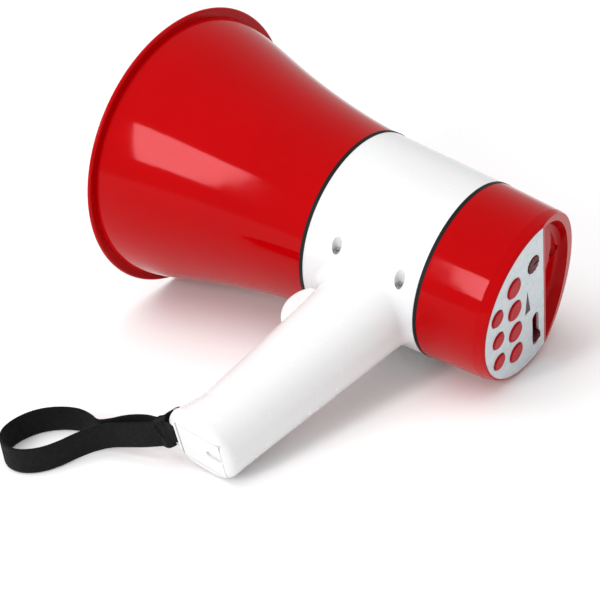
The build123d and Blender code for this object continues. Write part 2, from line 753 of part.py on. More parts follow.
def make_transformer():
    x = MAIN_BOARD_X + BOARD_THICK
    core = block(x + 2, x + 12, 2.0, 20.0, -24.0, -8.0)
    return core + block(x, x + 14, 5.0, 17.0, -21.0, -11.0)


# ---- wrist strap, in the row frame -----------------------------------------------------------------------
# Route of the strip, from the tab round the loop and back to the tab: steps from the strap bar in
# X and Y, and the height of the middle of the strip above the table. The strip stands on its edge.
STRAP_ROUTE = [
    (-8.2, -5.0, 16.6), (-16.7, -8.4, 14.7), (-26.7, -10.9, 12.5), (-36.2, -13.4, 10.4),
    (-42.9, -18.6, 8.9), (-47.3, -26.4, 7.9), (-50.1, -34.9, 7.4), (-54.7, -43.9, 7.4),
    (-63.7, -49.9, 7.4), (-74.2, -49.2, 7.4), (-82.2, -42.4, 7.4), (-83.9, -32.4, 7.4),
    (-80.9, -21.9, 7.4), (-73.2, -13.9, 7.4), (-62.7, -9.0, 7.4), (-53.2, -9.4, 7.4),
    (-45.5, -12.4, 8.3), (-39.1, -9.8, 9.7), (-32.7, -4.8, 11.2), (-24.7, -2.0, 12.9),
    (-16.2, -1.6, 14.8), (-8.2, -3.0, 16.6),
]
STRAP_LANDS_X = -49.7
TAB_THICK = 3.6
TAB_EYE_R = 2.9


def strap_radii(points):
    """Radius of the arc at each corner of the route, as large as its two runs allow."""
    radii = []
    for before, corner, after in zip(points, points[1:], points[2:]):
        arriving = corner - before
        leaving = after - corner
        half_turn = math.radians(arriving.get_angle(leaving) / 2)
        radii.append(0.45 * min(arriving.length, leaving.length) / math.tan(half_turn))
    return radii


def make_wrist_strap(bar):
    """Woven strip on its edge: it slopes down from the tab and goes round a loop on the table."""
    points = [Vector(bar.X + dx, bar.Y + dy, 0) for dx, dy, _ in STRAP_ROUTE]
    radii = strap_radii(points)
    path = FilletPolyline(*points, radius=radii)
    section = Plane(origin=path @ 0, x_dir=(0, 0, 1), z_dir=path % 0) * Rectangle(80.0, STRAP_THICK)
    curtain = sweep(section, path)
    tab_x = bar.X + STRAP_ROUTE[0][0]
    land_x = bar.X + STRAP_LANDS_X
    high = STRAP_ROUTE[0][2]
    low = min(z for _, _, z in STRAP_ROUTE)
    slope = (high - low) / (tab_x - land_x)
    half = STRAP_WIDTH / 2
    far_x = land_x - 60.0
    near_x = tab_x + 20.0
    top = high + slope * 20.0
    corners = [
        (far_x, 0, low - half), (land_x, 0, low - half), (near_x, 0, top - half),
        (near_x, 0, top + half), (land_x, 0, low + half), (far_x, 0, low + half),
    ]
    slab = extrude(make_face(Polyline(*corners, close=True)), 400.0, both=True)
    strap = curtain & slab
    print("strap radii", [round(radius, 1) for radius in radii])
    print("strap length", round(path.length, 1))
    print("strap volume over section", round(strap.volume / (STRAP_THICK * STRAP_WIDTH), 1))
    return strap


def make_strap_tab(bar, to_row):
    """Sewn end of the strap: an eye round the bar and a flat tongue that both layers leave from."""
    half = STRAP_WIDTH / 2
    eye = along_y(TAB_EYE_R, -half, half, STRAP_BAR.X, STRAP_BAR.Z)
    tab_section = Rectangle(2 * half, TAB_THICK)
    eye_face = Plane(origin=STRAP_BAR, x_dir=(0, 1, 0), z_dir=(-0.94, 0, -0.34)) * tab_section
    first = Vector(*STRAP_ROUTE[0])
    last = Vector(*STRAP_ROUTE[-1])
    middle = (first + last) * 0.5
    end_face = Plane(
        origin=(bar.X + middle.X, bar.Y + middle.Y, middle.Z),
        x_dir=(0, 0, -1),
        z_dir=(-0.93, -0.36, 0),
    ) * tab_section
    tongue = loft([to_row * eye_face, end_face])
    hole = to_row * along_y(STRAP_BAR_R + 0.05, -20, 20, STRAP_BAR.X, STRAP_BAR.Z)
    return to_row * eye + tongue - hole


# ---- lying on the table ------------------------------------------------------------------------------------
HANDLE_HEEL = Vector(150.4, 13.8, -152.5)
HANDLE_HEEL_R = 4.5
CAP_HEEL_R = 1.4


def resting_up():
    """Direction, in the frame of use, that points up when the megaphone lies on its right side."""
    up = Vector(0, -1, 0)
    for _ in range(30):
        down = -up
        side = Vector(0, down.Y, down.Z).normalized()
        rim = side * BELL_RIM_R
        cap = Vector(CAP_EDGE_X, 0, 0) + side * (CAP_EDGE_R - CAP_HEEL_R) + down * CAP_HEEL_R
        heel = HANDLE_HEEL + down * HANDLE_HEEL_R
        up = (heel - rim).cross(cap - rim).normalized()
        if up.Y > 0:
            up = -up
    return up


def lay_down(nodes):
    """Turn and move every node into the row frame, resting on Z = 0 and centred in X and Y."""
    up = resting_up()
    back = (Vector(1, 0, 0) - up * up.X).normalized()
    turn = Plane(origin=(0, 0, 0), x_dir=back, z_dir=up).location.inverse()
    turned_nodes = {name: turn * shape for name, shape in nodes.items()}
    box = Compound(list(turned_nodes.values())).bounding_box()
    shift = Pos(-(box.min.X + box.max.X) / 2, -(box.min.Y + box.max.Y) / 2, -box.min.Z)
    return {name: shift * shape for name, shape in turned_nodes.items()}, shift * turn


def make_nodes():
    body_left, body_right = make_body_shells()
    nodes = {
        "bell": make_bell(),
        "throat_grille": make_throat_grille(),
        "front_gasket": make_gasket(NECK_X, NECK_R, GASKET_THICK),
        "body_shell_left": body_left,
        "body_shell_right": body_right,
        "body_screws": Compound(make_body_screws()),
        "rear_gasket": make_gasket(BODY_END_X, BODY_END_R, GASKET_THICK),
        "rear_cap": make_rear_cap(),
        "control_panel": make_control_panel(),
        "speaker_gasket": make_speaker_gasket(),
        "speaker_frame": make_speaker_frame(),
        "speaker_surround": make_speaker_surround(),
        "speaker_cone": make_speaker_cone(),
        "speaker_dust_cap": make_dust_cap(),
        "voice_coil": make_voice_coil(),
        "speaker_spider": make_spider(),
        "speaker_top_plate": make_top_plate(),
        "speaker_magnet": make_magnet(),
        "speaker_yoke": make_yoke(),
        "speaker_screws": Compound(make_speaker_screws()),
        "main_board": make_main_board(),
        "amplifier_chip": make_amplifier_chip(),
        "heat_sink": make_heat_sink(),
        "capacitors": Compound(make_capacitors()),
        "transformer": make_transformer(),
        "trigger": make_trigger(),
        "trigger_spring": make_trigger_spring(),
        "trigger_switch": make_trigger_switch(),
        "switch_bracket": make_switch_bracket(),
        "battery_cell": make_battery_cell(),
        "battery_tube": make_battery_tube(),
        "contact_plate": make_contact_plate(),
        "battery_door": make_battery_door(),
        "door_pin": make_door_pin(),
        "door_spring": make_door_spring(),
        "strap_bar": make_strap_bar(),
        "volume_knob": make_volume_knob(),
        "volume_potentiometer": make_potentiometer(),
        "switch_lever": make_switch_lever(),
        "slide_switch": make_slide_switch(),
        "indicator_lens": make_indicator_lens(),
        "indicator_led": make_indicator_led(),
        "control_board": make_control_board(),
        "tact_switches": Compound(make_tact_switches()),
        "microphone_capsule": make_microphone(),
        "microphone_boot": make_microphone_boot(),
    }
    for number, (y, z) in enumerate(big_button_places(), 1):
        nodes[f"big_button_{number}"] = make_button(BIG_BUTTON_R, y, z)
    for number, (y, z) in enumerate(small_button_places(), 1):
        nodes[f"small_button_{number}"] = make_button(SMALL_BUTTON_R, y, z)
    return nodes


nodes, to_row = lay_down(make_nodes())
strap_bar = to_row * Location(STRAP_BAR)
nodes["wrist_strap"] = make_wrist_strap(strap_bar.position)
nodes["strap_tab"] = make_strap_tab(strap_bar.position, to_row)
os.makedirs("parts", exist_ok=True)
for name, shape in nodes.items():
    export_step(shape, f"parts/{name}.step")
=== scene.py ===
import json
import math

import bmesh
import bpy
from mathutils import Matrix, Vector, noise


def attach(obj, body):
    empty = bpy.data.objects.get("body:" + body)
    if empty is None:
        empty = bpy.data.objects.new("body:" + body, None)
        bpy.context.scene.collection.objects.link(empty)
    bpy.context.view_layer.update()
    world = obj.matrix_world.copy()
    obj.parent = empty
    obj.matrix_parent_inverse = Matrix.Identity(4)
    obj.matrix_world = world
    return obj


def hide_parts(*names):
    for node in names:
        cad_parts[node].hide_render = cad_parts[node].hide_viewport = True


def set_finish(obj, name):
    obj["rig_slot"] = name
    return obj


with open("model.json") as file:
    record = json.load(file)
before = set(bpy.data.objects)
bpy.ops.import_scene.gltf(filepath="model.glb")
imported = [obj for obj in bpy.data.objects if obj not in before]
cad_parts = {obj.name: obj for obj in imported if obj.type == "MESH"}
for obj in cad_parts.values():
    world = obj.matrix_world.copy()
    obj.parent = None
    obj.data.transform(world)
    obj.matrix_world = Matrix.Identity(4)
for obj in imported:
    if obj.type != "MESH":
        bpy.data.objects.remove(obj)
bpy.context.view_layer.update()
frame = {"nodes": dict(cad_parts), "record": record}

# The frame of use, which the megaphone is drawn in, seen from the row frame that it lies in: X runs back
# from the rim of the bell, Y to the user's right and Z up. Sizes in that frame are written in millimetres.
MM = 0.001
MOUNTS = {mount["name"]: mount for mount in frame["record"]["mounts"]}
BACK = -Vector(MOUNTS["bell_rim"]["axis"]).normalized()
RIGHT = Vector(MOUNTS["strap_bar"]["axis"]).normalized()
TOP = Vector(MOUNTS["handle_grip"]["axis"]).normalized()
RIM_MOUNT_DROP = 76.5
RIM_CENTRE = Vector(MOUNTS["bell_rim"]["pos_m"]) + TOP * RIM_MOUNT_DROP * MM
BAR_CENTRE = Vector(MOUNTS["strap_bar"]["pos_m"])


def turned(x, y, z):
    """A direction in the frame of use, as one in the row frame."""
    return BACK * x + RIGHT * y + TOP * z


def placed(x, y, z):
    """A point in the frame of use, in millimetres, as one in the row frame, in metres."""
    return RIM_CENTRE + turned(x, y, z) * MM


def extent(name):
    """Lowest and highest x, y and z of a CAD node in the frame of use, in millimetres."""
    spots = [vertex.co - RIM_CENTRE for vertex in frame["nodes"][name].data.vertices]
    ranges = []
    for way in (BACK, RIGHT, TOP):
        along = [spot.dot(way) / MM for spot in spots]
        ranges.append((min(along), max(along)))
    return ranges


# ---- camera --------------------------------------------------------------------------------------
# Place in millimetres and directions, all in the frame of use.
CAMERA_PLACE = (474.5, -503.1, -387.6)
CAMERA_FORWARD = (-0.5012, 0.7248, 0.4727)
CAMERA_UP = (-0.3842, -0.6758, 0.6290)
CAMERA_LENS = 84.0
CAMERA_SENSOR = 36.0
CAMERA_NEAR = 0.01
CAMERA_FAR = 50.0


def axes_matrix(origin, x_axis, y_axis, z_axis):
    """A 4x4 matrix with these axes as its columns."""
    matrix = Matrix((x_axis, y_axis, z_axis)).transposed().to_4x4()
    matrix.translation = origin
    return matrix


def make_camera():
    """The scene's only camera, held by its place, its view direction and its up direction."""
    forward = turned(*CAMERA_FORWARD).normalized()
    side = forward.cross(turned(*CAMERA_UP)).normalized()
    camera = bpy.data.cameras.new("camera")
    camera.lens = CAMERA_LENS
    camera.sensor_width = CAMERA_SENSOR
    camera.clip_start = CAMERA_NEAR
    camera.clip_end = CAMERA_FAR
    holder = bpy.data.objects.new("camera", camera)
    bpy.context.scene.collection.objects.link(holder)
    holder.matrix_world = axes_matrix(placed(*CAMERA_PLACE), side, side.cross(forward), -forward)
    bpy.context.scene.camera = holder


make_camera()


# ---- mesh helpers --------------------------------------------------------------------------------
SPLINE_RESOLUTION = 24
DIRECTION_REACH = 3


def new_object(name, mesh):
    """An object with this mesh, linked into the scene."""
    thing = bpy.data.objects.new(name, mesh)
    bpy.context.scene.collection.objects.link(thing)
    return thing


def mesh_object(name, vertices, faces, smooth=True):
    """An object made from lists of vertices and faces."""
    mesh = bpy.data.meshes.new(name)
    mesh.from_pydata([tuple(v) for v in vertices], [], faces)
    mesh.validate()
    if smooth:
        mesh.polygons.foreach_set("use_smooth", [True] * len(mesh.polygons))
    mesh.update()
    return new_object(name, mesh)


def ring_skin(rings):
    """Vertices and faces of a skin over rings of equally many points, with capped ends."""
    count = len(rings[0])
    vertices = [point for ring in rings for point in ring]
    faces = []
    for i in range(len(rings) - 1):
        a = i * count
        b = (i + 1) * count
        for j in range(count):
            k = (j + 1) % count
            faces.append((a + j, b + j, b + k, a + k))
    faces.append(tuple(range(count)))
    faces.append(tuple(range(len(vertices) - 1, len(vertices) - count - 1, -1)))
    return vertices, faces


def circle_angles(count):
    """Angles at even steps round a circle, in radians."""
    return [2 * math.pi * i / count for i in range(count)]


def join_parts(name, parts):
    """One smooth mesh object from several (vertices, faces) pairs."""
    vertices = []
    faces = []
    for part_vertices, part_faces in parts:
        start = len(vertices)
        vertices += part_vertices
        faces += [tuple(i + start for i in face) for face in part_faces]
    return mesh_object(name, vertices, faces)


def spline_points(points):
    """Points along the smooth NURBS spline that has these control points."""
    data = bpy.data.curves.new("route", "CURVE")
    data.dimensions = "3D"
    spline = data.splines.new("NURBS")
    spline.points.add(len(points) - 1)
    for control, point in zip(spline.points, points):
        control.co = (*point, 1.0)
    spline.order_u = 3
    spline.use_endpoint_u = True
    spline.resolution_u = SPLINE_RESOLUTION
    thing = bpy.data.objects.new("route", data)
    bpy.context.scene.collection.objects.link(thing)
    bpy.context.view_layer.update()
    mesh = bpy.data.meshes.new_from_object(thing)
    found = [vertex.co.copy() for vertex in mesh.vertices]
    bpy.data.objects.remove(thing)
    bpy.data.curves.remove(data)
    bpy.data.meshes.remove(mesh)
    return found


def stations(points, pitch):
    """(distance, point, direction) at even steps along a line of points."""
    lengths = [0.0]
    for a, b in zip(points, points[1:]):
        lengths.append(lengths[-1] + (b - a).length)
    count = round(lengths[-1] / pitch)
    spots = []
    k = 0
    for i in range(count + 1):
        s = lengths[-1] * i / count
        while k < len(points) - 2 and lengths[k + 1] < s:
            k += 1
        share = (s - lengths[k]) / max(lengths[k + 1] - lengths[k], 1e-12)
        spots.append((s, points[k].lerp(points[k + 1], min(1.0, share))))
    made = []
    for i, (s, point) in enumerate(spots):
        before = spots[max(0, i - DIRECTION_REACH)][1]
        after = spots[min(count, i + DIRECTION_REACH)][1]
        made.append((s, point, (after - before).normalized()))
    return made


# ---- wrist strap, in metres ----------------------------------------------------------------------
# The route of the strap in the row frame: steps in X and Y from the centre of the strap bar, and the height
# of the strap's middle over the table.
STRAP_ROUTE = [
    (-0.0082, -0.0050, 0.0166), (-0.0167, -0.0084, 0.0147), (-0.0267, -0.0109, 0.0125),
    (-0.0362, -0.0134, 0.0104), (-0.0429, -0.0186, 0.0089), (-0.0473, -0.0264, 0.0079),
    (-0.0501, -0.0349, 0.0074), (-0.0547, -0.0439, 0.0074), (-0.0637, -0.0499, 0.0074),
    (-0.0742, -0.0492, 0.0074), (-0.0822, -0.0424, 0.0074), (-0.0839, -0.0324, 0.0074),
    (-0.0809, -0.0219, 0.0074), (-0.0732, -0.0139, 0.0074), (-0.0627, -0.0090, 0.0074),
    (-0.0532, -0.0094, 0.0074), (-0.0455, -0.0124, 0.0083), (-0.0391, -0.0098, 0.0097),
    (-0.0327, -0.0048, 0.0112), (-0.0247, -0.0020, 0.0129), (-0.0162, -0.0016, 0.0148),
    (-0.0082, -0.0030, 0.0166),
]
STRAP_WIDTH = 0.014
STRAP_THICK = 0.0015
RIB_PITCH = 0.0014
STEPS_PER_RIB = 7
WARP_RIBS = 9
STEPS_PER_WARP_RIB = 4
RIB_SHARPNESS = 0.7
HOLLOW_SHARE = 0.74
RIB_SHARE = 0.26
EDGE_SCALLOP = 0.00012
UP = Vector((0.0, 0.0, 1.0))


def webbing_ring(s, point, direction, width_way):
    """One cross-section of ribbed webbing, with rounded woven edges."""
    width_way = (width_way - direction * width_way.dot(direction)).normalized()
    face_way = direction.cross(width_way)
    rib = abs(math.sin(math.pi * s / RIB_PITCH)) ** RIB_SHARPNESS
    swell = HOLLOW_SHARE + RIB_SHARE * rib
    side_steps = STEPS_PER_WARP_RIB * WARP_RIBS
    edge = []
    for i in range(side_steps + 1):
        u = -1.0 + 2.0 * i / side_steps
        yarn = 0.95 + 0.05 * math.cos(math.pi * WARP_RIBS * (u + 1.0))
        roundness = (1.0 - abs(u) ** 14) ** 0.5
        across = u * (STRAP_WIDTH / 2 - EDGE_SCALLOP * (1.0 - rib) * abs(u) ** 6)
        edge.append((across, STRAP_THICK / 2 * swell * yarn * (0.25 + 0.75 * roundness)))
    ring = [point + width_way * a + face_way * h for a, h in edge]
    ring += [point + width_way * a - face_way * h for a, h in reversed(edge)]
    return ring


strap_route = [Vector((BAR_CENTRE.x + dx, BAR_CENTRE.y + dy, z)) for dx, dy, z in STRAP_ROUTE]
strap_line = spline_points(strap_route)
strap_stations = stations(strap_line, RIB_PITCH / STEPS_PER_RIB)


def make_strap():
    """The free part of the strap, standing on its edge: out from the bar, round the loop and back."""
    rings = [webbing_ring(s, point, way, UP) for s, point, way in strap_stations]
    strap = mesh_object("strap_loop", *ring_skin(rings))
    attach(strap, "megaphone")
    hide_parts("wrist_strap")
    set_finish(strap, "webbing")
    return strap


strap_loop = make_strap()


# ---- sewn end of the strap -----------------------------------------------------------------------
BAR_WRAP_R = 0.0024
PATCH_START = 0.0030
PATCH_END = 0.0122
PATCH_HALF_WIDTH = 0.0074
PATCH_HALF_THICK = 0.0029
THREAD_R = 0.00022
STITCH_LENGTH = 0.0017
STITCH_PITCH = 0.0023
STITCH_INSET = 0.0012
STITCH_HALF_WIDTH = 0.0062
STITCH_SEAT = 0.93
STITCH_STEPS = 8
PATCH_STEPS = 46
PATCH_SIDES = 72
PATCH_SQUARENESS = 0.42
PATCH_RIBS = 6.5
# Bends of the fold round the bar: steps towards the loop and to the side, in radii of the wrap.
EYE_BENDS = [(4.2, 1.1), (2.4, 1.05), (0.9, 1.35), (-0.7, 1.2), (-1.35, 0.55)]

strap_root = (strap_route[0] + strap_route[-1]) * 0.5
ROOT_WAY = (strap_root - BAR_CENTRE).normalized()
BAR_WAY = -RIGHT


def root_width_way(point):
    """Direction of the strap's width: along the bar beside it, turning upright towards the loop."""
    share = (point - BAR_CENTRE).dot(ROOT_WAY) / (strap_root - BAR_CENTRE).length
    share = max(0.0, min(1.0, share))
    return BAR_WAY.lerp(UP, share).normalized()


def make_strap_eye():
    """The end of the strap, folded round the bar and back on itself."""
    side = BAR_WAY.cross(ROOT_WAY).normalized()
    if side.dot(strap_route[0] - strap_route[-1]) < 0:
        side = -side
    r = BAR_WRAP_R
    there = [BAR_CENTRE + ROOT_WAY * r * a + side * r * b for a, b in EYE_BENDS]
    back = [BAR_CENTRE + ROOT_WAY * r * a - side * r * b for a, b in reversed(EYE_BENDS)]
    line = spline_points([strap_route[0], *there, *back, strap_route[-1]])
    rings = []
    for s, point, way in stations(line, RIB_PITCH / STEPS_PER_RIB):
        rings.append(webbing_ring(s, point, way, root_width_way(point)))
    eye = mesh_object("strap_eye", *ring_skin(rings))
    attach(eye, "megaphone")
    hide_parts("strap_tab")
    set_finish(eye, "webbing")
    return eye


def patch_frame(distance):
    """Centre, width way and face way of the sewn patch at a distance from the bar."""
    centre = BAR_CENTRE + ROOT_WAY * distance
    width_way = root_width_way(centre)
    width_way = (width_way - ROOT_WAY * width_way.dot(ROOT_WAY)).normalized()
    return centre, width_way, ROOT_WAY.cross(width_way)


def make_strap_patch():
    """The folded and sewn piece of webbing that holds both layers together beside the bar."""
    rings = []
    for i in range(PATCH_STEPS + 1):
        t = i / PATCH_STEPS
        centre, width_way, face_way = patch_frame(PATCH_START + (PATCH_END - PATCH_START) * t)
        lip = (1.0 - abs(2.0 * t - 1.0) ** 8) ** 0.5
        ring = []
        for angle in circle_angles(PATCH_SIDES):
            c = math.cos(angle)
            s = math.sin(angle)
            across = math.copysign(abs(c) ** PATCH_SQUARENESS, c)
            high = math.copysign(abs(s) ** PATCH_SQUARENESS, s)
            pucker = noise.noise(Vector((t * 5.0, across * 2.2, high * 1.5 + 7.0)))
            rib = abs(math.sin(math.pi * t * PATCH_RIBS)) ** RIB_SHARPNESS
            grown = 0.86 + 0.09 * rib + 0.13 * pucker
            wide = PATCH_HALF_WIDTH * across * (0.96 + 0.03 * lip + 0.03 * pucker)
            thick = PATCH_HALF_THICK * high * grown * (0.62 + 0.38 * lip)
            ring.append(centre + width_way * wide + face_way * thick)
        rings.append(ring)
    patch = mesh_object("strap_patch", *ring_skin(rings))
    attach(patch, "megaphone")
    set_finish(patch, "webbing")
    return patch


def stitch(start, end, out):
    """One stitch: a short thread that rises out of the cloth and dips back into it."""
    way = (end - start).normalized()
    rings = []
    for i in range(STITCH_STEPS + 1):
        t = i / STITCH_STEPS
        rise = out * (THREAD_R * 1.3 * math.sin(math.pi * t) - THREAD_R * 0.4)
        centre = start.lerp(end, t) + rise
        size = THREAD_R * (0.45 + 0.55 * math.sin(math.pi * t) ** 0.5)
        side = way.cross(out).normalized()
        rings.append([centre + (side * math.cos(a) + out * math.sin(a)) * size for a in circle_angles(8)])
    return ring_skin(rings)


def make_strap_stitches():
    """Rows of stitches round the edge of the patch and from corner to corner, on both faces."""
    parts = []
    inner = STITCH_HALF_WIDTH
    ends = (PATCH_START + STITCH_INSET, PATCH_END - STITCH_INSET)
    for face in (1.0, -1.0):
        rows = []
        for across in (-inner, inner):
            rows.append(((ends[0], across), (ends[1], across)))
        for distance in ends:
            rows.append(((distance, -inner), (distance, inner)))
        rows.append(((ends[0], -inner), (ends[1], inner)))
        rows.append(((ends[0], inner), (ends[1], -inner)))
        for (d0, a0), (d1, a1) in rows:
            length = math.hypot(d1 - d0, a1 - a0)
            count = max(2, round(length / STITCH_PITCH))
            for k in range(count):
                t0 = (k + 0.5) / count - STITCH_LENGTH / length / 2
                t1 = (k + 0.5) / count + STITCH_LENGTH / length / 2
                spots = []
                for t in (t0, t1):
                    centre, width_way, face_way = patch_frame(d0 + (d1 - d0) * t)
                    lift = face_way * face * PATCH_HALF_THICK * STITCH_SEAT
                    spots.append(centre + width_way * (a0 + (a1 - a0) * t) + lift)
                parts.append(stitch(spots[0], spots[1], face_way * face))
    stitches = join_parts("strap_stitches", parts)
    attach(stitches, "megaphone")
    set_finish(stitches, "webbing")
    return stitches


strap_eye = make_strap_eye()
strap_patch = make_strap_patch()
strap_stitches = make_strap_stitches()


# ---- control details -----------------------------------------------------------------------------
BEVEL_SEGMENTS = 3
LEVER_RIBS = 3
LEVER_RIB_HEIGHT = 0.45
LEVER_RIB_SEAT = 0.2
LEVER_RIB_INSET = 0.25
LEVER_BEVEL = 0.18
LEVER_RIB_BEVEL = 0.14


def bevelled(name, outline, low, high, bevel):
    """A prism along X of the frame of use, from an outline of (y, z) points, with rounded edges."""
    mesh = bpy.data.meshes.new(name)
    work = bmesh.new()
    lower = [work.verts.new(placed(low, y, z)) for y, z in outline]
    upper = [work.verts.new(placed(high, y, z)) for y, z in outline]
    work.faces.new(list(reversed(lower)))
    work.faces.new(upper)
    for i in range(len(outline)):
        k = (i + 1) % len(outline)
        work.faces.new((lower[i], lower[k], upper[k], upper[i]))
    bmesh.ops.recalc_face_normals(work, faces=work.faces)
    bmesh.ops.bevel(
        work, geom=list(work.edges), offset=bevel * MM, segments=BEVEL_SEGMENTS, profile=0.5,
        affect="EDGES",
    )
    for face in work.faces:
        face.smooth = True
    work.to_mesh(mesh)
    work.free()
    return new_object(name, mesh)


def make_switch_cap():
    """The slide switch's lever with its finger ribs."""
    (x0, x1), (y0, y1), (z0, z1) = extent("switch_lever")
    step = (y1 - y0) / (2 * LEVER_RIBS + 1)
    shoulder = x1 - LEVER_RIB_HEIGHT
    low = z0 + LEVER_RIB_INSET
    high = z1 - LEVER_RIB_INSET
    outline = [(y0, z0), (y1, z0), (y1, z1), (y0, z1)]
    block = bevelled("switch_lever_cap", outline, x0, shoulder, LEVER_BEVEL)
    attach(block, "switch_lever")
    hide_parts("switch_lever")
    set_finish(block, "dial_dark")
    ribs = []
    for k in range(LEVER_RIBS):
        a = y0 + step * (2 * k + 1)
        rib_outline = [(a, low), (a + step, low), (a + step, high), (a, high)]
        rib_name = f"switch_lever_rib_{k + 1}"
        rib = bevelled(rib_name, rib_outline, shoulder - LEVER_RIB_SEAT, x1, LEVER_RIB_BEVEL)
        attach(rib, "switch_lever")
        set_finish(rib, "dial_dark")
        ribs.append(rib)
    return [block, *ribs]


switch_pieces = make_switch_cap()


# ---- materials -----------------------------------------------------------------------------------
class Paint:
    """A node material under construction: a Principled shader and the textures that feed it."""

    def __init__(self, name, **sockets):
        self.material = bpy.data.materials.new(name)
        self.material.use_nodes = True
        self.tree = self.material.node_tree
        self.shader = self.tree.nodes["Principled BSDF"]
        self.coords = self.add("ShaderNodeTexCoord").outputs["Object"]
        for key, value in sockets.items():
            self.shader.inputs[key.replace("_", " ")].default_value = value

    def add(self, kind, settings=None, **inputs):
        """A new node with these settings, its inputs set to values or linked to sockets."""
        made = self.tree.nodes.new(kind)
        for key, value in (settings or {}).items():
            setattr(made, key, value)
        for key, value in inputs.items():
            self.feed(made.inputs[key.replace("_", " ")], value)
        return made

    def feed(self, socket, value):
        """Link a socket to the input, or set its value."""
        if isinstance(value, bpy.types.NodeSocket):
            self.tree.links.new(value, socket)
        else:
            socket.default_value = value

    def use(self, socket, value):
        """Feed an input of the shader itself."""
        self.feed(self.shader.inputs[socket], value)

    def noise(self, scale, detail=3.0, roughness=0.55, coords=None):
        """Fractal noise; the scale is in features per metre."""
        made = self.add("ShaderNodeTexNoise", Scale=scale, Detail=detail, Roughness=roughness)
        self.feed(made.inputs["Vector"], coords or self.coords)
        return made.outputs["Fac"]

    def stretched(self, along, across, way=(0.0, 0.0, 0.0)):
        """Coordinates scaled along one axis and across it, for textures with drawn-out lines."""
        made = self.add("ShaderNodeMapping", Scale=(along, across, across), Rotation=way)
        self.feed(made.inputs["Vector"], self.coords)
        return made.outputs["Vector"]

    def cells(self, scale, feature="F1"):
        """A Voronoi texture: cells with a colour and a distance."""
        made = self.add("ShaderNodeTexVoronoi", {"feature": feature}, Scale=scale)
        self.feed(made.inputs["Vector"], self.coords)
        return made

    def ramp(self, factor, *stops):
        """Colour looked up between (place, colour) stops."""
        made = self.add("ShaderNodeValToRGB", Fac=factor)
        elements = made.color_ramp.elements
        for place, colour in (stops[0], stops[-1]):
            element = elements[0] if place == stops[0][0] else elements[-1]
            element.position = place
            element.color = (*colour, 1.0)
        for place, colour in stops[1:-1]:
            elements.new(place).color = (*colour, 1.0)
        return made.outputs["Color"]

    def range(self, factor, low, high, start=0.3, end=0.7):
        """The factor from start to end, mapped to low to high."""
        made = self.add(
            "ShaderNodeMapRange", Value=factor, From_Min=start, From_Max=end, To_Min=low, To_Max=high,
        )
        return made.outputs["Result"]

    def bump(self, height, depth, strength=1.0, under=None):
        """A surface normal pushed by a height, over the normal from below when there is one."""
        made = self.add("ShaderNodeBump", Height=height, Distance=depth, Strength=strength)
        if under is not None:
            self.feed(made.inputs["Normal"], under)
        return made.outputs["Normal"]


def shade(colour, factor):
    """A colour made lighter or darker."""
    return tuple(min(1.0, channel * factor) for channel in colour)


def moulded(name, colour, spread=0.06, rough=(0.2, 0.3), grain=600.0, depth=0.00001, **sockets):
    """Moulded plastic: slight cloudiness in the colour, uneven gloss and a fine surface."""
    paint = Paint(name, **sockets)
    cloud = paint.noise(28.0, 4.0)
    darker = shade(colour, 1 - spread)
    lighter = shade(colour, 1 + spread)
    paint.use("Base Color", paint.ramp(cloud, (0.3, darker), (0.7, lighter)))
    smudge = paint.noise(90.0, 5.0, 0.65)
    paint.use("Roughness", paint.range(smudge, rough[0], rough[1]))
    paint.use("Normal", paint.bump(paint.noise(grain, 2.0), depth))
    return paint


def brushed(name, colour, rough=(0.22, 0.38), **sockets):
    """Metal with fine drawn lines and slight tarnish."""
    paint = Paint(name, Metallic=1.0, **sockets)
    lines = paint.noise(1.0, 4.0, 0.6, paint.stretched(260.0, 3200.0))
    paint.use("Base Color", paint.ramp(paint.noise(120.0, 3.0), (0.3, shade(colour, 0.86)), (0.7, colour)))
    paint.use("Roughness", paint.range(lines, rough[0], rough[1]))
    paint.use("Normal", paint.bump(lines, 0.000006))
    return paint


def make_red():
    """Deep red high-gloss plastic, with a faint orange peel and fine polishing marks."""
    paint = Paint("red_gloss", Specular_IOR_Level=0.18, Specular_Tint=(1.0, 0.42, 0.45, 1.0))
    cloud = paint.noise(14.0, 3.0)
    darker = (0.395, 0.0, 0.0008)
    lighter = (0.43, 0.0, 0.0012)
    paint.use("Base Color", paint.ramp(cloud, (0.3, darker), (0.7, lighter)))
    paint.use("Roughness", paint.range(paint.noise(70.0, 6.0, 0.7), 0.05, 0.11))
    peel = paint.bump(paint.noise(150.0, 1.0), 0.00003, 0.35)
    fine = paint.noise(1.0, 3.0, 0.6, paint.stretched(300.0, 2600.0, (0.0, 0.3, 0.4)))
    paint.use("Normal", paint.bump(fine, 0.000003, 0.5, peel))
    return paint


def make_webbing():
    """Black polyester webbing: yarn grain over the modelled ribs, with a soft sheen."""
    paint = Paint("webbing", Specular_IOR_Level=0.12, Sheen_Weight=0.02, Sheen_Roughness=0.6)
    yarn = paint.noise(1800.0, 3.0, 0.7)
    black = (0.0025, 0.0025, 0.0028)
    worn = (0.0085, 0.0085, 0.0093)
    paint.use("Base Color", paint.ramp(yarn, (0.35, black), (0.7, worn)))
    paint.use("Roughness", paint.range(paint.noise(400.0, 4.0), 0.62, 0.85))
    paint.use("Normal", paint.bump(yarn, 0.00012, 0.8))
    return paint


# Sockets of the mix node in its colour mode.
MIX_COLOUR_A = 6
MIX_COLOUR_B = 7
MIX_COLOUR_OUT = 2


